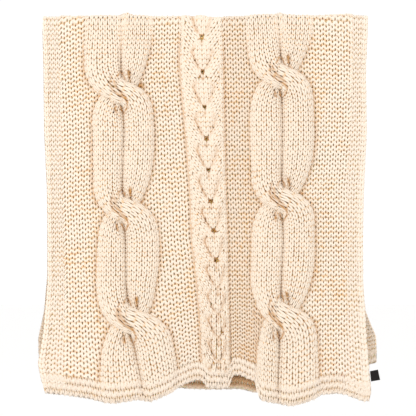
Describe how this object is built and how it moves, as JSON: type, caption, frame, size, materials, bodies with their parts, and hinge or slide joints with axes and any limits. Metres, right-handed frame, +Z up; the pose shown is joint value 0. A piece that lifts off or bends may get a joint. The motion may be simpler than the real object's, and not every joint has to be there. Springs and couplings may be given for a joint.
{
  "type": "hand-knitted wool throw",
  "caption": "Bulky cable-knit wool throw hanging folded in half over an unseen bar, with rope cables, a middle eyelet braid and a small ribbon tab.",
  "frame": {"origin": "inside the fold at the top, on the line where the bar bears on the cloth, halfway along it", "axes": "+Z up, along the hang of the flaps; +X along the bar, to the right seen from the front; the front flap is on the -Y side"},
  "size_m": [0.9433, 0.1431, 1.0771],
  "materials": {
    "wool_knit": "soft matt undyed wool, hand-knitted",
    "black_ribbon": "woven ribbon, slight sheen"
  },
  "bodies": {
    "root": {"throw": "wool_knit", "side_tab": "black_ribbon"}
  },
  "joints": []
}
